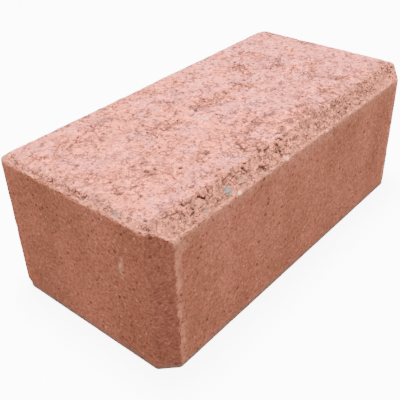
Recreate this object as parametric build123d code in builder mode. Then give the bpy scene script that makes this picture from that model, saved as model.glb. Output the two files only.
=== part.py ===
"""Concrete wall block, pressed in a steel mould as one solid piece.

Its form is what three drawings of it have in common: the plan of the mould with its four upright
corners cut off, the cross-section with its two long top edges bevelled, and the long section with
its two short top edges only eased. The bevels therefore run the whole length and out through the
cut corners.

Millimetres, +Z up. The origin is at the middle of the underside, and +X runs along the length.
"""

import os

from build123d import *

# The block over all
length = 290.0
width = 150.0
height = 110.0

# Upright corners, cut off by the liners of the mould
corner_cut = 11.0

# Long top edges, bevelled by the rim of the tamper head
bevel_width = 12.0
bevel_depth = 10.5

# Short top edges and the edge round the underside, eased and no more
top_arris = 4.5
foot_arris = 1.0

os.makedirs("parts", exist_ok=True)

with BuildPart() as wall_block:
    # Plan of the mould, filled to the height of the block
    with BuildSketch(Plane.XY) as plan:
        Rectangle(length, width)
        chamfer(plan.vertices(), length=corner_cut)
    extrude(amount=height)

    # Cross-section, half drawn and half mirrored
    with BuildSketch(Plane.YZ):
        with BuildLine():
            Polyline(
                (0, 0),
                (width / 2, 0),
                (width / 2, height - bevel_depth),
                (width / 2 - bevel_width, height),
                (0, height),
            )
            mirror(about=Plane.YZ)
        make_face()
    extrude(amount=length / 2, both=True, mode=Mode.INTERSECT)

    # Long section
    with BuildSketch(Plane.XZ) as long_section:
        Rectangle(length, height, align=(Align.CENTER, Align.MIN))
        chamfer(long_section.vertices().group_by(Axis.Y)[-1], length=top_arris)
    extrude(amount=width / 2, both=True, mode=Mode.INTERSECT)

    # Edge round the underside
    underside = wall_block.faces().sort_by(Axis.Z)[0]
    chamfer(underside.edges(), length=foot_arris)

wall_block.part.label = "wall_block"
export_step(wall_block.part, "parts/wall_block.step")
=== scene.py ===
"""Concrete wall block: its looks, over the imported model.

Metres, +Z up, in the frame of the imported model: the origin is at the middle of the underside, and +X
runs along the length.
"""

import math

import bmesh
import bpy
import numpy as np
from mathutils import Matrix, Vector, noise


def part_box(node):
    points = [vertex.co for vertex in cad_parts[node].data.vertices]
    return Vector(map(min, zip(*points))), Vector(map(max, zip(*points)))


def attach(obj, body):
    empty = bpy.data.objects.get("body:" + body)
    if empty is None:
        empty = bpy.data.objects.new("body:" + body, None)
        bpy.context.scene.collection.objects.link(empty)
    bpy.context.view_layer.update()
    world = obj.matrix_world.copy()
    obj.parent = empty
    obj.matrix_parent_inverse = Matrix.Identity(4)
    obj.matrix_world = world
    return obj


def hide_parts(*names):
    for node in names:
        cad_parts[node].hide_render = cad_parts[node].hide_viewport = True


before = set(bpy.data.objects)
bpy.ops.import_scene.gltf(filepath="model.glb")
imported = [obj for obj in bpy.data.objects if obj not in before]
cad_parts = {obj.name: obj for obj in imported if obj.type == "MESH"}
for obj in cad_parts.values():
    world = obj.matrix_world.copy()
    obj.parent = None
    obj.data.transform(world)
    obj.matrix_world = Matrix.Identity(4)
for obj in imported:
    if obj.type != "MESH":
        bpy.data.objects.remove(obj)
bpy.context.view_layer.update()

# The block
# One piece of iron-red concrete, vibrated and pressed in a steel mould, struck at once and cured on a
# flat pallet. The mould leaves its sides smooth, the tamper head leaves its top open and crumbly, and
# handling has worn its arrises.
mm = 0.001
block_low, block_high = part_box("wall_block")
block = bmesh.new()
block.from_mesh(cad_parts["wall_block"].data)
bmesh.ops.remove_doubles(block, verts=block.verts, dist=0.01 * mm)
bmesh.ops.dissolve_limit(block, angle_limit=math.radians(1), verts=block.verts, edges=block.edges)
block.faces.index_update()
face_normals = np.array([face.normal for face in block.faces])
face_offsets = np.array([face.normal.dot(face.verts[0].co) for face in block.faces])
face_tilts = face_normals[:, 2]
up_tilt = 0.3
facing_up = face_tilts > up_tilt
facing_down = face_tilts < -up_tilt
upright = abs(face_tilts) < 0.1
slanting = facing_up & (face_tilts < 0.95)
on_side = upright & (abs(face_normals[:, 1]) > 0.9)
on_end = upright & (abs(face_normals[:, 0]) > 0.9)
on_bevel = slanting & (abs(face_normals[:, 1]) > 0.3)
on_end_arris = slanting & (abs(face_normals[:, 0]) > 0.3)
side_corners = np.array([vert.co for face in block.faces if on_side[face.index] for vert in face.verts])
end_corners = np.array([vert.co for face in block.faces if on_end[face.index] for vert in face.verts])
side_reach = abs(side_corners[:, 0]).max()
end_reach = abs(end_corners[:, 1]).max()
side_top = side_corners[:, 2].max()
end_top = end_corners[:, 2].max()

# Its skin is cut into a net, with a line on each side of every arris, and one more below it
net = Vector((1.95, 1.95, 5.0)) * mm
arris_line = 0.4 * mm
closest = 0.5 * mm
snap = 0.1 * mm
for axis in range(3):
    across = Vector([float(axis == other) for other in range(3)])
    corners = {vert.co[axis] for vert in block.verts}
    beside = (-3, -1, 1) if axis == 2 else (-1, 1)
    lines = []
    for line in sorted(corner + side * arris_line for corner in corners for side in beside):
        inside = block_low[axis] < line < block_high[axis]
        if inside and (not lines or line - lines[-1] > closest):
            lines.append(line)
    between = np.arange(block_low[axis] + net[axis] / 2, block_high[axis], net[axis])
    lines += [line for line in between if min(abs(line - other) for other in lines) > net[axis] / 2]
    for line in lines:
        skin = block.verts[:] + block.edges[:] + block.faces[:]
        bmesh.ops.bisect_plane(block, geom=skin, dist=snap, plane_co=across * line, plane_no=across)

# The net is finer on the pressed face, and the underside needs none inside its rim
pressed_net = 1.3 * mm
rim = 12 * mm
pressed_edges = [
    edge for edge in block.edges
    if edge.calc_length() > pressed_net and min(face.normal.z for face in edge.link_faces) > up_tilt]
bmesh.ops.subdivide_edges(block, edges=pressed_edges, cuts=1, use_grid_fill=True)


def under(face):
    """True for a face of the underside inside its rim."""
    reach = [max(abs(vert.co[axis]) - block_high[axis] + rim for vert in face.verts) for axis in (0, 1)]
    return face.normal.z < -0.99 and max(reach) < 0


bmesh.ops.dissolve_faces(block, faces=[face for face in block.faces if under(face)], use_verts=True)

# Its relief is made of lumps and grains, at sizes in mm, and is the same in every run
noise.seed_set(3)


def smooth_step(low, high, values):
    """0 at low, 1 at high, and an even ease between them."""
    shares = np.clip((values - low) / (high - low), 0, 1)
    return shares * shares * (3 - 2 * shares)


def lumps(spots, size, seed, octaves=1):
    """Smooth lumps of a size, about -1 to 1, with finer ones on them for each further octave."""
    shift = Vector((seed, 2.3 * seed, 3.7 * seed))
    if octaves == 1:
        return np.array([noise.noise(spot / size + shift) for spot in spots])
    return np.array([noise.fractal(spot / size + shift, 0.7, 2.1, octaves) for spot in spots])


def grains(spots, size, seed):
    """Grains of a size: the way to the middle and edge of the grain at each spot, and two lots of it."""
    shift = Vector((seed, 2.3 * seed, 3.7 * seed))
    found = [noise.voronoi(spot / size + shift) for spot in spots]
    middle = np.array([reach[0] for reach, seeds in found])
    edge = np.array([reach[1] - reach[0] for reach, seeds in found])
    first_lot = np.array([noise.cell(seeds[0] * 71) for reach, seeds in found])
    second_lot = np.array([noise.cell(seeds[0] * 37) for reach, seeds in found])
    return middle, edge, first_lot, second_lot


def over_faces(points, ease):
    """Height of points over the block's faces, rounded off between them, with each face's share."""
    heights = points @ face_normals.T - face_offsets
    highest = heights.max(axis=1, keepdims=True)
    shares = np.exp((heights - highest) / ease[:, None])
    total = shares.sum(axis=1, keepdims=True)
    return highest + ease[:, None] * np.log(total), shares / total


# Ground of the pressed face: x, y and reach in mm, and how open it is, or closed below 0
grounds = (
    (-66, 10, 8, 0.4), (-12, 8, 12, 0.5), (-90, -41, 9, 0.3), (-90, 26, 9, 0.3), (-28, -40, 9, 0.4),
    (-13, -37, 9, 0.45), (-40, -54, 11, 0.45), (35, -60, 12, 0.45), (66, -50, 9, 0.45),
    (54, 20, 8, 0.35), (30, 1, 8, 0.35), (90, -30, 9, 0.4), (-78, -61, 8, 0.35), (-78, 50, 7, 0.4),
    (-114, 30, 7, 0.3), (-102, -25, 8, 0.25), (54, -69, 9, 0.5), (78, 5, 9, 0.35), (-137, -8, 8, 0.3),
    (-104, 2, 13, -0.5), (-77, 9, 10, -0.75), (-36, -18, 13, -0.5), (48, -6, 12, -0.4),
    (20, 25, 14, -0.65), (108, 36, 15, -0.5), (-64, -50, 8, -0.6), (114, -40, 18, -0.4),
    (-47, -36, 10, -0.75), (-124, -47, 10, -0.4), (-126, 16, 11, -0.4), (-122, 52, 10, -0.4),
    (-105, -38, 8, -0.4), (-75, -18, 9, -0.4), (15, 57, 13, -0.4), (48, 58, 14, -0.4),
    (78, 57, 12, -0.4), (0, 28, 12, -0.4), (45, 10, 9, -0.3), (122, 12, 12, -0.4), (-101, -66, 9, -0.6),
    (-70, -66, 9, -0.6), (15, -50, 9, -0.45), (-45, 24, 8, 0.3), (20, -71, 8, -0.3))
# The largest voids: x, y and reach
deep_voids = (
    (-101, -24, 1.7), (-96, -26, 1.3), (-86, -38, 1.6), (-60, 19, 1.5), (-65, 10, 1.3), (-82, 48, 1.3),
    (-98, -57, 1.2), (-102, -53, 1.0), (-138, -59, 1.4), (-113, -64, 1.2), (-128, -29, 1.3),
    (-38, -63, 1.6), (-44, -53, 1.6), (-42, -48, 1.2), (-23, -58, 1.5), (-20, 6, 1.7), (-3, 13, 1.3),
    (33, 7, 1.4), (81, 6, 1.8), (59, 21, 1.3), (66, 37, 1.5), (76, -61, 1.4), (104, -60, 1.4),
    (-75, 62, 1.5), (20, 66, 1.3), (90, 57, 1.6), (-20, 50, 1.3), (118, 22, 1.5))
# Stones that show: x, y, reach along each, and bareness
bare_stones = (
    (-80.5, -70.4, 3.4, 2.5, 0.9), (-143, -39.5, 2.2, 3.6, 0.5), (-102, -71.6, 2.4, 1.8, 0.35),
    (-66, -71.9, 2.4, 1.6, 0.3), (56, 70.6, 3.0, 2.3, 0.8), (126, 68.5, 2.2, 2.0, 0.5),
    (143, 21, 1.8, 2.6, 0.6))
# The deepest cracks: x and y of both ends, and reach
deep_cracks = (
    (-101, -65, -98, -67, 0.6), (-98, -67, -98, -70, 0.7), (-113, -61, -113, -65, 0.6),
    (-92, -63, -93, -66, 0.6), (-94, -36, -97, -44, 0.5), (-121, -33, -121, -38, 0.5),
    (-62, 11, -56, 10, 0.7), (-115, -46, -112, -51, 0.5), (-112, -51, -107, -53, 0.5),
    (-99, -57, -96, -57, 0.6), (-23, -66, -26, -72, 0.8), (33, 7, 34, -1, 0.6), (-7, 13, 0, 10, 0.6),
    (5, -36, 1, -40, 0.6), (-4, -35, 0, -36, 0.6), (-26, -39, -25, -44, 0.6), (-39, -45, -44, -53, 0.9),
    (-39, -61, -40, -64, 0.8), (-19, -63, -17, -65, 0.7), (-56, -23, -57, -26, 0.6),
    (-47, -70, -45, -72, 1.2), (-60, -66, -59, -68, 0.9), (62, 60, 58, 66, 0.8), (30, 64, 36, 69, 0.9),
    (112, 12, 117, 15, 0.7))
# Pale blooms on the pressed face: x, y and reach
blooms = (
    (16, -21, 9), (-26, -7, 8), (-20, -60, 7), (-55, -57, 8), (73, -24, 9), (20, 60, 11), (50, 60, 11),
    (80, 58, 11), (95, 48, 10))
# Pale flecks on the lips, and corners knocked off: x, y, z and reach
flecks = (
    (-74, -74.3, 100.2, 2.0), (-23, -74.3, 100.2, 2.2), (26, -74.3, 100.2, 1.4), (70, 74.3, 100.2, 1.8))
corner_chips = ((-141, 69, 0, 11), (141, -69, 0, 11), (141, 64, 110, 6))
# Stains down the long sides: x and y at the foot, reach, and strength
stains = (
    (-67, -75, 12, 0.8), (20, -75, 13, 0.4), (108, -75, 14, 0.5), (-12, 75, 10, 0.7), (62, 75, 14, 0.6))
# The scuff on the left end, and the worn spot beside the cut corner
scuff_place = (-145, -42, 72)
scuff_reach = (4, 3, 7)
worn_place = (-127, -75, 95)
worn_reach = (5, 4, 4.5)
# How far wear and chips have rounded the arrises, and the heights of the relief, in mm
worn_ease = 0.25
chip_ease = 0.45
crevice_depth = 0.4
crack_depth = 0.8
void_depth = 1.3
stone_height = 0.15


def shares_of(points):
    """The share of each kind of face at points of the sharp form."""
    kinds = {
        "side": on_side, "end": on_end, "bevel": on_bevel, "end_arris": on_end_arris, "foot": facing_down}
    _, sharp_shares = over_faces(points, np.full(len(points), 0.25 * mm))
    _, soft_shares = over_faces(points, np.full(len(points), 0.8 * mm))
    shares = {name: sharp_shares[:, kind].sum(axis=1) for name, kind in kinds.items()}
    shares["pressed"] = soft_shares[:, facing_up].sum(axis=1)
    shares["bevelled"] = shares["bevel"] + 0.35 * shares["end_arris"]
    return shares


def worn_form(points, spots, foot):
    """Points of the sharp form moved to where wear and chips have left it, and the way outwards there."""
    places = points / mm
    chipped = smooth_step(0.15, 0.6, lumps(spots, 6, seed=3, octaves=2)) * (1 - smooth_step(0, 0.4, foot))
    ease = worn_ease + 0.08 * lumps(spots, 7, seed=5) + 0.1 * lumps(spots, 25, seed=6)
    ease += chip_ease * chipped
    for *chip, reach in corner_chips:
        way = np.linalg.norm(places - chip, axis=1) / reach
        ease += 0.2 * reach * (1 - smooth_step(0.2, 1, way))
    ease *= mm
    placed = points.copy()
    for _ in range(2):
        height, worn_shares = over_faces(placed, ease)
        outward = worn_shares @ face_normals
        placed -= height * outward / (outward ** 2).sum(axis=1, keepdims=True)
    return placed, outward


def pressed_skin(spots, places, shares):
    """The pressed face: how far it stands over the worn form, in mm, and the marks that it carries."""
    bevelled = shares["bevelled"]
    to_long = block_high.y / mm - abs(places[:, 1])
    to_left = block_high.x / mm + places[:, 0]
    near_long = smooth_step(3, 10, to_long)
    near_long *= 1 - smooth_step(12, 24, to_long + 5 * lumps(spots, 9, seed=11))
    near_end = 1 - smooth_step(4, 11, to_left + 3 * lumps(spots, 9, seed=12))
    calm = 1 - smooth_step(1, 6, to_long)
    stray_spots = [spot + 0.8 * noise.noise_vector(spot / 2.3) for spot in spots]
    strays = np.array(stray_spots)

    # Flat paste, and ground that is open
    torn = 0.7 * lumps(spots, 16, seed=7, octaves=4)
    for ground_x, ground_y, reach, share in grounds:
        way = np.hypot(places[:, 0] - ground_x, places[:, 1] - ground_y) / reach
        torn += share * (1 - smooth_step(0.3, 1.5, way))
    opened = smooth_step(-0.15, 0.55, torn + 0.10 * near_long) * (1 - 0.4 * bevelled)

    # Cracks, crevices between crumbs, and voids, more of them where it is open
    cracks = np.zeros(len(spots))
    for size, seed in ((7.5, 13), (4.2, 17)):
        line = 1 - smooth_step(0.015, 0.10, abs(lumps(stray_spots, size, seed)))
        kept = smooth_step(0.05, 0.25, lumps(spots, 0.9 * size, seed + 1) + 0.45 * opened - 0.08)
        cracks = np.maximum(cracks, line * kept)
    _, edge, height_lot, _ = grains(stray_spots, 3.0, seed=19)
    crevices = (1 - smooth_step(0.02, 0.30, edge)) * smooth_step(-0.3, 0.6, height_lot) * opened
    middle, _, chance_lot, size_lot = grains(stray_spots, 4.6, seed=23)
    far_off = 9.0
    pit_way = np.where(chance_lot > 0.62 - 0.85 * opened, middle / (0.17 + 0.08 * size_lot), far_off)
    for void_x, void_y, reach in deep_voids:
        pit_way = np.minimum(pit_way, np.hypot(strays[:, 0] - void_x, strays[:, 1] - void_y) / reach)
    pits = 1 - smooth_step(0.35, 1.1, pit_way)
    # A ring a little wider than each pit, darkened with it: painted shade on the pit walls
    pit_shade = 1 - smooth_step(0.55, 1.4, pit_way)
    torn_open = np.zeros(len(spots))
    for from_x, from_y, to_x, to_y, reach in deep_cracks:
        start = np.array((from_x, from_y))
        run = np.array((to_x, to_y)) - start
        share = np.clip((strays[:, :2] - start) @ run / (run @ run), 0, 1)
        way = np.linalg.norm(strays[:, :2] - start - share[:, None] * run, axis=1)
        torn_open = np.maximum(torn_open, 1 - smooth_step(0.4 * reach, 1.3 * reach, way))

    # Bare stones, pale blooms and flecks
    stones = np.zeros(len(spots))
    for stone_x, stone_y, reach_x, reach_y, bareness in bare_stones:
        way = np.hypot((strays[:, 0] - stone_x) / reach_x, (strays[:, 1] - stone_y) / reach_y)
        stones = np.maximum(stones, bareness * (1 - smooth_step(0.7, 1.1, way)))
    stones *= shares["pressed"]
    bloom = np.zeros(len(spots))
    bloom_edge = 0.5 * lumps(spots, 6, seed=67)
    for bloom_x, bloom_y, reach in blooms:
        way = np.hypot(places[:, 0] - bloom_x, places[:, 1] - bloom_y) / reach
        bloom = np.maximum(bloom, 1 - smooth_step(0.2, 1.1, way + bloom_edge))
    fleck = np.zeros(len(spots))
    for *fleck_place, reach in flecks:
        way = np.linalg.norm(strays - fleck_place, axis=1)
        fleck = np.maximum(fleck, 1 - smooth_step(0.5 * reach, 1.1 * reach, way))
    fleck *= smooth_step(0.1, 0.5, shares["pressed"])

    # How far all of this stands out or goes in
    bare = (1 - stones) * (1 - 0.6 * calm)
    cracks, crevices, pits, pit_shade = cracks * bare, crevices * bare, pits * bare, pit_shade * bare
    lift = 0.18 * lumps(spots, 40, seed=29) + 0.12 * lumps(spots, 15, seed=31)
    lift += 0.25 * bevelled * lumps(spots, 8, seed=61)
    lift += opened * bare * (0.14 * height_lot - 0.12 + 0.10 * lumps(spots, 1.5, seed=37))
    lift -= (
        crevice_depth * crevices + crack_depth * cracks + void_depth * np.maximum(pits, torn_open)
        - stone_height * stones)
    # Where the face is darkened: dust and painted shade in voids, cracks and crevices, painted shade
    # round pits
    void = np.maximum(np.maximum(pit_shade, torn_open), np.maximum(0.9 * cracks, 0.5 * crevices))
    marks = {
        "near_long": near_long, "near_end": near_end, "opened": opened, "void": void, "stone": stones,
        "bloom": bloom, "fleck": fleck}
    return lift, marks


def side_marks(spots, places, shares):
    """Marks of the moulded sides: paste smears, scuffs, stains, and painted shade on the ends and foot.
    """
    by_side = shares["side"] + shares["bevel"]
    by_end = shares["end"] + shares["end_arris"]
    below_side = side_top / mm - places[:, 2]
    below_end = end_top / mm - places[:, 2]
    smear_depth = 12 + 6 * lumps(spots, 40, seed=47)
    smear_way = below_side + 3 * lumps(spots, 9, seed=49)
    smear = by_side * (0.45 - 0.45 * smooth_step(1, smear_depth, smear_way))
    smear += by_side * (0.20 - 0.20 * smooth_step(0.3, 3, below_side))
    smear += by_end * (0.25 - 0.25 * smooth_step(0.3, 3, below_end))
    stray = np.array([noise.noise_vector(spot / 2.5) for spot in spots])
    scuff_way = np.linalg.norm((places - scuff_place) / scuff_reach + 0.4 * stray, axis=1)
    worn_way = np.linalg.norm((places - worn_place) / worn_reach + 0.4 * stray, axis=1)
    scuff = np.maximum(1 - smooth_step(0.5, 1.1, scuff_way), 0.5 - 0.5 * smooth_step(0.5, 1.1, worn_way))
    # The ends darken towards the near cut corner: painted shade
    stain_and_shade = 0.5 * shares["end"] * smooth_step(5, 60, -places[:, 1])
    stain_edge = 0.3 * lumps(spots, 12, seed=59)
    for stain_x, stain_y, reach, share in stains:
        way = np.hypot(places[:, 0] + 0.06 * places[:, 2] - stain_x, places[:, 1] - stain_y) / reach
        stain_and_shade += shares["side"] * share * (1 - smooth_step(0.2, 1.2, way + stain_edge))
    # Darker at the foot: painted shade along the bottom few mm
    foot_shade = 1 - smooth_step(0.5, 5, places[:, 2] + 2 * lumps(spots, 7, seed=71))
    return {"side": shares["side"], "smear": smear, "scuff": scuff, "stain_and_shade": stain_and_shade, "foot_shade": foot_shade}


def skin_of(points):
    """The worn skin over points of the sharp form, its relief in mm, and the marks that it carries."""
    spots = [Vector(point) / mm for point in points]
    places = points / mm
    shares = shares_of(points)
    pressed = shares["pressed"]
    placed, outward = worn_form(points, spots, shares["foot"])
    pressed_lift, pressed_marks = pressed_skin(spots, places, shares)
    mould_lift = 0.2 * lumps(spots, 50, seed=41) + 0.06 * lumps(spots, 9, seed=43)
    mould_lift *= smooth_step(1, 6, places[:, 2])
    lift = pressed * pressed_lift + (1 - pressed) * mould_lift
    placed += lift[:, None] * mm * outward
    marks = {"pressed": pressed, "bevelled": shares["bevelled"]}
    return placed, lift, marks | pressed_marks | side_marks(spots, places, shares)


# The net is halved once more where the relief is steepest
steepest_count = 4800
smallest_face = 0.5 * mm * mm
block.verts.index_update()
_, lift, _ = skin_of(np.array([vert.co for vert in block.verts]))
steepness = {}
for face in block.faces:
    lifts = [lift[vert.index] for vert in face.verts]
    if face.calc_area() > smallest_face:
        steepness[face] = max(lifts) - min(lifts)
steep_faces = sorted(steepness, key=steepness.get)[-steepest_count:]
steep_edges = list(dict.fromkeys(edge for face in steep_faces for edge in face.edges))
bmesh.ops.subdivide_edges(block, edges=steep_edges, cuts=1, use_grid_fill=True)

placed, _, marks = skin_of(np.array([vert.co for vert in block.verts]))
layers = {name: block.verts.layers.float.new(name) for name in marks}
for index, vert in enumerate(block.verts):
    vert.co = placed[index]
    for name, layer in layers.items():
        vert[layer] = marks[name][index]
for face in block.faces:
    face.smooth = True

block_mesh = bpy.data.meshes.new("block_concrete")
block.to_mesh(block_mesh)
block.free()
block_concrete = bpy.data.objects.new("block_concrete", block_mesh)
bpy.context.collection.objects.link(block_concrete)

# Its colour: brick red where the mould was, paler and pinker on the pressed face, and dark in the voids,
# partly dust and partly painted shade
red_concrete = bpy.data.materials.new("red_concrete")
red_concrete.use_nodes = True
concrete_tree = red_concrete.node_tree
concrete = concrete_tree.nodes["Principled BSDF"]


def feed(socket, value):
    """Sets a socket to a value, or links it to another node's output."""
    if isinstance(value, bpy.types.NodeSocket):
        concrete_tree.links.new(value, socket)
    else:
        socket.default_value = value


def texture(kind, where, **sizes):
    """A texture node of the concrete, read at a place."""
    node = concrete_tree.nodes.new(kind)
    feed(node.inputs["Vector"], where)
    for name, value in sizes.items():
        feed(node.inputs[name], value)
    return node


def cloud(where, per_metre, detail, roughness):
    """A cloudy number, about 0.5."""
    node = texture("ShaderNodeTexNoise", where, Scale=per_metre, Detail=detail, Roughness=roughness)
    return node.outputs["Fac"]


def combine(how, first, second):
    """Two numbers put together by a sum, a product or the like."""
    node = concrete_tree.nodes.new("ShaderNodeMath")
    node.operation = how
    feed(node.inputs[0], first)
    feed(node.inputs[1], second)
    return node.outputs[0]


def spread(value, low, high, to_low=0.0, to_high=1.0):
    """A number moved smoothly from one range to another."""
    node = concrete_tree.nodes.new("ShaderNodeMapRange")
    node.interpolation_type = "SMOOTHSTEP"
    numbers = {"Value": value, "From Min": low, "From Max": high, "To Min": to_low, "To Max": to_high}
    for name, number in numbers.items():
        feed(node.inputs[name], number)
    return node.outputs["Result"]


def blend(share, first, second, how="MIX"):
    """Two colours mixed by a share."""
    node = concrete_tree.nodes.new("ShaderNodeMix")
    node.data_type = "RGBA"
    node.blend_type = how
    feed(node.inputs[0], share)
    feed(node.inputs[6], first)
    feed(node.inputs[7], second)
    return node.outputs[2]


def mark(name):
    """A mark that the skin carries."""
    node = concrete_tree.nodes.new("ShaderNodeAttribute")
    node.attribute_name = name
    return node.outputs["Fac"]


def toned(colour, value, low, high, green_power=1.0, blue_power=1.0):
    """A colour darkened or lightened by a cloudy number, less so in green and blue where that is said."""
    node = concrete_tree.nodes.new("ShaderNodeCombineColor")
    tone = spread(value, 0.25, 0.75, low, high)
    feed(node.inputs["Red"], tone)
    feed(node.inputs["Green"], combine("POWER", tone, green_power))
    feed(node.inputs["Blue"], combine("POWER", tone, blue_power))
    return blend(1.0, colour, node.outputs["Color"], "MULTIPLY")


def cells(where, apart):
    """Cells some mm apart: the way to the middle of each, and two lots of it."""
    node = texture("ShaderNodeTexVoronoi", where, Scale=1 / (apart * mm))
    lots = concrete_tree.nodes.new("ShaderNodeSeparateColor")
    feed(lots.inputs["Color"], texture("ShaderNodeTexWhiteNoise", node.outputs["Color"]).outputs["Color"])
    return node.outputs["Distance"], lots.outputs["Red"], lots.outputs["Green"]


def specks(where, apart, smallest, largest, chance):
    """Round specks some mm apart, each of its own reach in mm."""
    middle, chance_lot, size_lot = cells(where, apart)
    reach = spread(size_lot, 0.0, 1.0, smallest / apart, largest / apart)
    inside = spread(combine("DIVIDE", middle, reach), 1.0, 0.3)
    inside = combine("MULTIPLY", inside, spread(size_lot, 0.0, 1.0, 0.4, 1.0))
    return combine("MULTIPLY", inside, combine("LESS_THAN", chance_lot, chance))


place = concrete_tree.nodes.new("ShaderNodeTexCoord").outputs["Object"]
ripple = texture("ShaderNodeTexNoise", place, Scale=420.0, Detail=1.0)


def pushed(reach):
    """The place, pushed about by the ripple, by up to some mm."""
    node = concrete_tree.nodes.new("ShaderNodeVectorMath")
    node.operation = "MULTIPLY_ADD"
    feed(node.inputs[0], ripple.outputs["Color"])
    feed(node.inputs[1], (reach * mm, reach * mm, reach * mm))
    feed(node.inputs[2], place)
    return node.outputs["Vector"]


uneven = pushed(1.3)
slightly_uneven = pushed(0.6)
upright_place = concrete_tree.nodes.new("ShaderNodeMapping")
feed(upright_place.inputs["Vector"], place)
feed(upright_place.inputs["Scale"], (1.0, 1.0, 0.04))

# The moulded sides, with sand grains, pores and pits in them, smeared with paste under the lips, and
# rubbed pale beside the cut corners
brick_red = (0.456, 0.150, 0.0925, 1)
umber_red = (0.371, 0.127, 0.0755, 1)
ochre_tint = (0.985, 1.02, 0.975, 1)
rose_tint = (1.015, 0.98, 1.025, 1)
liner_tint = (0.765, 0.77, 0.81, 1)
stain_and_shade_tint = (0.88, 0.87, 0.87, 1)
smear_tan = (0.56, 0.228, 0.152, 1)
rubbed_red = (0.605, 0.217, 0.135, 1)
scuff_pale = (0.72, 0.310, 0.205, 1)
sand_cream = (0.84, 0.41, 0.27, 1)
pit_shade_brown = (0.100, 0.034, 0.022, 1)
foot_shade_brown = (0.25, 0.135, 0.105, 1)
along = concrete_tree.nodes.new("ShaderNodeSeparateXYZ")
feed(along.inputs["Vector"], place)
patches = cloud(place, 20.0, 3.0, 0.55)
streaks = cloud(upright_place.outputs["Vector"], 60.0, 1.0, 0.5)
coarse_grain = cloud(place, 420.0, 2.0, 0.7)
ragged = cloud(place, 260.0, 3.0, 0.7)
_, grain_lot, _ = cells(uneven, 1.2)
_, side_lot, _ = cells(slightly_uneven, 1.2)
_, fine_lot, _ = cells(place, 0.8)
crowding = spread(cloud(place, 45.0, 2.0, 0.6), 0.35, 0.65, 0.15, 0.75)
side_pits = specks(slightly_uneven, apart=5.4, smallest=0.75, largest=1.70, chance=crowding)
side_pores = specks(slightly_uneven, apart=3.0, smallest=0.60, largest=1.25, chance=0.75)
sand = specks(slightly_uneven, apart=3.4, smallest=0.50, largest=1.10, chance=0.40)
side_colour = blend(spread(patches, 0.35, 0.65), umber_red, brick_red)
side_tint = blend(spread(cloud(place, 110.0, 3.0, 0.7), 0.35, 0.65), ochre_tint, rose_tint)
side_colour = blend(1.0, side_colour, side_tint, "MULTIPLY")
from_long = combine("SUBTRACT", side_reach, combine("ABSOLUTE", along.outputs["X"], 0.0))
from_end = combine("SUBTRACT", end_reach, combine("ABSOLUTE", along.outputs["Y"], 0.0))
facet_waver = spread(cloud(place, 170.0, 3.0, 0.65), 0.3, 0.7, -0.9 * mm, 0.9 * mm)
facet_edge = combine("ADD", combine("MAXIMUM", from_long, from_end), facet_waver)
facet_share = spread(facet_edge, 0.9 * mm, -0.1 * mm)
beside_facet = spread(facet_edge, -0.1 * mm, 0.9 * mm)
rubbed_band = combine("MULTIPLY", beside_facet, spread(facet_edge, 8.0 * mm, 2.0 * mm))
side_colour = blend(facet_share, side_colour, liner_tint, "MULTIPLY")
# Stains on the long sides, and the ends darkened towards the near corner as painted shade
side_colour = blend(mark("stain_and_shade"), side_colour, stain_and_shade_tint, "MULTIPLY")
# A little darker at the foot and paler at the top: painted shade and light
side_colour = toned(side_colour, spread(along.outputs["Z"], 0.0, 0.1, 0.25, 0.75), 0.96, 1.04)
side_colour = toned(side_colour, streaks, 0.95, 1.05)
rubbed = spread(cloud(place, 120.0, 4.0, 0.75), 0.38, 0.60, 0.35, 1.0)
side_colour = blend(combine("MULTIPLY", mark("smear"), rubbed), side_colour, smear_tan)
rubbed_band = combine("MULTIPLY", combine("MULTIPLY", rubbed_band, mark("side")), rubbed)
side_colour = blend(rubbed_band, side_colour, rubbed_red)
side_colour = blend(combine("MULTIPLY", mark("scuff"), 0.85), side_colour, scuff_pale)
side_colour = toned(side_colour, coarse_grain, 0.82, 1.22)
side_colour = toned(side_colour, side_lot, 0.89, 1.12)
side_colour = toned(side_colour, fine_lot, 0.90, 1.10)
# Painted shade along the foot
side_colour = blend(combine("MULTIPLY", mark("foot_shade"), 0.95), side_colour, foot_shade_brown)
sanded = spread(facet_share, 0.0, 1.0, 0.60, 0.25)
side_colour = blend(combine("MULTIPLY", sand, sanded), side_colour, sand_cream)
pored = spread(facet_share, 0.0, 1.0, 0.65, 0.35)
# Pores and pits darkened: painted shade in the holes
side_colour = blend(combine("MULTIPLY", side_pores, pored), side_colour, pit_shade_brown)
side_colour = blend(combine("MULTIPLY", side_pits, 0.8), side_colour, pit_shade_brown)

# The pressed face, pale with paste and browner where it is open
paste_pink = (0.528, 0.149, 0.121, 1)
paste_peach = (0.538, 0.131, 0.080, 1)
highlight_pale = (0.98, 0.215, 0.138, 1)
open_tan = (0.42, 0.130, 0.076, 1)
open_brown = (0.28, 0.100, 0.069, 1)
# The bevel colours: the open ground's browns, darkened a little further as painted shade on the slanted
# bevels
bevel_tan_and_shade = (0.405, 0.131, 0.073, 1)
bevel_brown_and_shade = (0.22, 0.084, 0.053, 1)
end_tan = (0.415, 0.143, 0.100, 1)
crevice_dust_and_shade = (0.068, 0.040, 0.035, 1)
bloom_pale = (0.66, 0.215, 0.190, 1)
stone_grey = (0.190, 0.150, 0.132, 1)
opened_share = mark("opened")
void_share = mark("void")
bevel_share = mark("bevelled")
mottle = cloud(place, 55.0, 5.0, 0.65)
crumb_tone = spread(cloud(place, 330.0, 2.0, 0.6), 0.36, 0.64)
opened_lift = combine("MULTIPLY", opened_share, 0.065)
looseness = spread(along.outputs["X"], -0.15, 0.02, 0.78, 0.98)
coarseness = combine("MULTIPLY", looseness, spread(opened_share, 0.0, 0.9, 0.5, 1.15))


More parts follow.
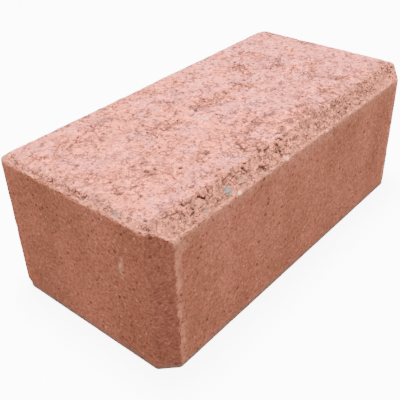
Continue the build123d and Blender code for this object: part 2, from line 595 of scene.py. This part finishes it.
def fine_cracks(per_metre, width):
    """Short cracks, thinner than the net of the skin."""
    middle = combine("ABSOLUTE", combine("SUBTRACT", cloud(uneven, per_metre, 1.0, 0.5), 0.5), 0.0)
    kept = spread(combine("ADD", cloud(place, 1.1 * per_metre, 1.0, 0.5), opened_lift), 0.56, 0.62)
    return combine("MULTIPLY", spread(middle, width, 0.3 * width), kept)


def crumb_gaps(where, apart, width):
    """Gaps between crumbs some mm apart, kept here and there."""
    node = texture("ShaderNodeTexVoronoi", where, Scale=1 / (apart * mm))
    node.feature = "DISTANCE_TO_EDGE"
    kept = spread(combine("ADD", cloud(place, 400 / apart, 2.0, 0.6), opened_lift), 0.58, 0.66)
    return combine("MULTIPLY", spread(node.outputs["Distance"], width / apart, 0.3 * width / apart), kept)


def roughened(value):
    """A cloudy number, spread wider where the face is open."""
    return combine("ADD", combine("MULTIPLY", combine("SUBTRACT", value, 0.5), coarseness), 0.5)


void_chance = spread(opened_share, 0.0, 1.0, 0.25, 0.55)
fine_voids = specks(uneven, apart=3.2, smallest=0.40, largest=1.05, chance=void_chance)
fine_share = combine("MAXIMUM", fine_cracks(140.0, width=0.040), fine_cracks(260.0, width=0.058))
fine_share = combine("MAXIMUM", fine_share, fine_voids)
fine_share = combine("MAXIMUM", fine_share, crumb_gaps(uneven, apart=2.8, width=0.42))
fine_share = combine("MAXIMUM", fine_share, crumb_gaps(slightly_uneven, apart=6.0, width=0.55))
fine_share = combine("MULTIPLY", fine_share, spread(bevel_share, 0.0, 1.0, 0.75, 0.70))
fine_share = combine("MULTIPLY", fine_share, looseness)
# Pale flecks on the crumbs: painted highlights
crumb_highlights = spread(cloud(uneven, 240.0, 2.0, 0.6), 0.56, 0.70)
crumb_highlights = combine("MULTIPLY", crumb_highlights, spread(bevel_share, 0.0, 1.0, 0.85, 0.65))
far_pink = spread(along.outputs["X"], -0.15, 0.15, -0.05, 0.11)
pinker = combine("ADD", cloud(place, 45.0, 3.0, 0.6), far_pink)
pinker = combine("SUBTRACT", pinker, combine("MULTIPLY", opened_share, 0.12))
paste_colour = blend(spread(pinker, 0.40, 0.60), paste_peach, paste_pink)
open_colour = blend(crumb_tone, open_brown, open_tan)
bevel_colour = blend(crumb_tone, bevel_brown_and_shade, bevel_tan_and_shade)
top_colour = blend(combine("MULTIPLY", mark("bloom"), 0.6), paste_colour, bloom_pale)
top_colour = blend(combine("MULTIPLY", opened_share, 0.35), top_colour, open_colour)
top_colour = blend(combine("MULTIPLY", mark("near_long"), 0.35), top_colour, bevel_colour)
top_colour = blend(combine("MULTIPLY", mark("near_end"), 0.6), top_colour, end_tan)
# The bevels and end arrises: open, crumbly ground, and painted shade
top_colour = blend(combine("MULTIPLY", bevel_share, 0.9), top_colour, bevel_colour)
green_power = 0.72
blue_power = 0.60
top_colour = toned(top_colour, mottle, 0.82, 1.20, green_power, blue_power)
_, crumb_lot, _ = cells(uneven, 2.2)
top_colour = toned(top_colour, roughened(coarse_grain), 0.60, 1.48, green_power, blue_power)
top_colour = toned(top_colour, roughened(crumb_lot), 0.82, 1.20, green_power, blue_power)
top_colour = toned(top_colour, roughened(grain_lot), 0.76, 1.29, green_power, blue_power)
top_colour = toned(top_colour, roughened(fine_lot), 0.84, 1.18, green_power, blue_power)
# Painted highlights on the crumbs
top_colour = blend(crumb_highlights, top_colour, highlight_pale)
# Cracks, crumb gaps and voids darkened: partly dust, partly painted shade
top_colour = blend(fine_share, top_colour, crevice_dust_and_shade)
top_colour = blend(combine("MULTIPLY", void_share, 0.95), top_colour, crevice_dust_and_shade)
stone_colour = toned(stone_grey, mottle, 0.75, 1.25)
top_colour = blend(mark("stone"), top_colour, stone_colour)

# Both together: a pale lip of paste with a painted highlight between them, a thin painted shadow under it
lip_paste_and_highlight = (0.62, 0.200, 0.110, 1)
under_lip_shadow_tint = (0.70, 0.65, 0.62, 1)
fleck_cream = (0.88, 0.40, 0.29, 1)
pressed_share = mark("pressed")
ragged_share = combine("ADD", pressed_share, spread(ragged, 0.2, 0.8, -0.32, 0.32))
lipped = spread(ragged_share, 0.62, 0.76)
# The thin painted shadow under the lip
under_lip_shadowed = blend(spread(pressed_share, 0.28, 0.48), side_colour, under_lip_shadow_tint, "MULTIPLY")
skin_colour = blend(lipped, under_lip_shadowed, top_colour)
# The lip paler again: paste, and a painted highlight
lip_share = combine("MULTIPLY", lipped, spread(pressed_share, 0.93, 0.80))
lip_patches = spread(cloud(place, 75.0, 3.0, 0.65), 0.40, 0.58, 0.15, 0.9)
skin_colour = blend(combine("MULTIPLY", lip_share, lip_patches), skin_colour, lip_paste_and_highlight)
skin_colour = blend(combine("MULTIPLY", mark("fleck"), 0.9), skin_colour, fleck_cream)
feed(concrete.inputs["Base Color"], skin_colour)
feed(concrete.inputs["Roughness"], 1.0)
feed(concrete.inputs["Specular IOR Level"], 0.1)

# The relief that is finer than the net: grains, and the pits, pores and fine cracks
grain_height = combine("ADD", combine("MULTIPLY", grain_lot, 0.15), coarse_grain)
grain_height = combine("SUBTRACT", grain_height, 0.575)
grain_height = combine("MULTIPLY", grain_height, spread(pressed_share, 0.3, 0.7, 0.12, 1.1))
pit_height = combine("MULTIPLY", combine("MAXIMUM", side_pits, combine("MULTIPLY", side_pores, 0.5)), 0.4)
pit_height = combine("MULTIPLY", pit_height, spread(pressed_share, 0.3, 0.7, 1.0, 0.0))
fine_height = combine("MULTIPLY", fine_share, spread(pressed_share, 0.3, 0.7, 0.0, 1.0))
skin_height = combine("SUBTRACT", combine("SUBTRACT", grain_height, pit_height), fine_height)
skin_bump = concrete_tree.nodes.new("ShaderNodeBump")
feed(skin_bump.inputs["Height"], skin_height)
feed(skin_bump.inputs["Distance"], 1.0 * mm)
feed(concrete.inputs["Normal"], skin_bump.outputs["Normal"])

block_mesh.materials.append(red_concrete)
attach(block_concrete, "root")
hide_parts("wall_block")

# The floor
# A pale studio sweep, flat under the block and curved up all round it. It glows, so that it stays pale,
# and it throws no light back on the block.
sweep_flat = 2.5
sweep_bend = 1.5
sweep_top = 4.0
bend_steps = 12
round_steps = 96
sweep_form = bmesh.new()
sweep_line = [sweep_form.verts.new((0, 0, 0)), sweep_form.verts.new((sweep_flat, 0, 0))]
for step in range(1, bend_steps + 1):
    turn = step * math.pi / (2 * bend_steps)
    sweep_line.append(sweep_form.verts.new((
        sweep_flat + sweep_bend * math.sin(turn), 0, sweep_bend * (1 - math.cos(turn)))))
sweep_line.append(sweep_form.verts.new((sweep_flat + sweep_bend, 0, sweep_top)))
sweep_edges = [sweep_form.edges.new(pair) for pair in zip(sweep_line, sweep_line[1:])]
bmesh.ops.spin(
    sweep_form, geom=sweep_line + sweep_edges, cent=(0, 0, 0), axis=(0, 0, 1), dvec=(0, 0, 0),
    angle=2 * math.pi, steps=round_steps, use_merge=True)
bmesh.ops.remove_doubles(sweep_form, verts=sweep_form.verts, dist=1 * mm)
bmesh.ops.recalc_face_normals(sweep_form, faces=sweep_form.faces)
for face in sweep_form.faces:
    face.smooth = True
sweep_mesh = bpy.data.meshes.new("floor_sweep")
sweep_form.to_mesh(sweep_mesh)
sweep_form.free()
floor_sweep = bpy.data.objects.new("floor_sweep", sweep_mesh)
bpy.context.collection.objects.link(floor_sweep)
floor_sweep.visible_diffuse = False
floor_sweep.visible_glossy = False
pale_paint = bpy.data.materials.new("pale_paint")
pale_paint.use_nodes = True
paint = pale_paint.node_tree.nodes["Principled BSDF"]
paint.inputs["Base Color"].default_value = (0.8, 0.8, 0.8, 1)
paint.inputs["Roughness"].default_value = 0.9
paint.inputs["Emission Color"].default_value = (1, 1, 1, 1)
paint.inputs["Emission Strength"].default_value = 8.0
sweep_mesh.materials.append(pale_paint)

# The light
# An even white sky, with a soft box overhead, a little behind the middle of the block, and a weak one
# that fills in the long side.
sky = bpy.data.worlds.new("sky")
sky.use_nodes = True
sky_light = sky.node_tree.nodes["Background"]
sky_light.inputs["Color"].default_value = (1, 1, 1, 1)
sky_light.inputs["Strength"].default_value = 1.0
bpy.context.scene.world = sky


def soft_box(name, hung_at, width, power):
    """A round soft box that points at the block."""
    lamp = bpy.data.lights.new(name, "AREA")
    lamp.shape = "DISK"
    lamp.size = width
    lamp.energy = power
    box = bpy.data.objects.new(name, lamp)
    box.location = hung_at
    box.rotation_euler = (-Vector(hung_at)).to_track_quat("-Z", "Y").to_euler()
    bpy.context.collection.objects.link(box)


soft_box("key_box", hung_at=(0.06, 0.18, 1.65), width=0.5, power=115)
soft_box("fill_box", hung_at=(0.1, -1.9, 0.7), width=0.9, power=8)

# The camera
# It looks down on the corner where the left end meets the long side, from about half a metre away, and
# leans a little to one side.
camera_data = bpy.data.cameras.new("camera")
camera_data.sensor_width = 36
camera_data.lens = 57.37
camera_azimuth = math.radians(-48.69)
camera_elevation = math.radians(34.30)
camera_roll = math.radians(-2.0)
camera_place = Vector((-327.1, -264.8, 311.7)) * mm
camera = bpy.data.objects.new("camera", camera_data)
camera.matrix_world = (
    Matrix.Translation(camera_place)
    @ Matrix.Rotation(camera_azimuth, 4, "Z")
    @ Matrix.Rotation(math.pi / 2 - camera_elevation, 4, "X")
    @ Matrix.Rotation(camera_roll, 4, "Z")
)
bpy.context.collection.objects.link(camera)
bpy.context.scene.camera = camera
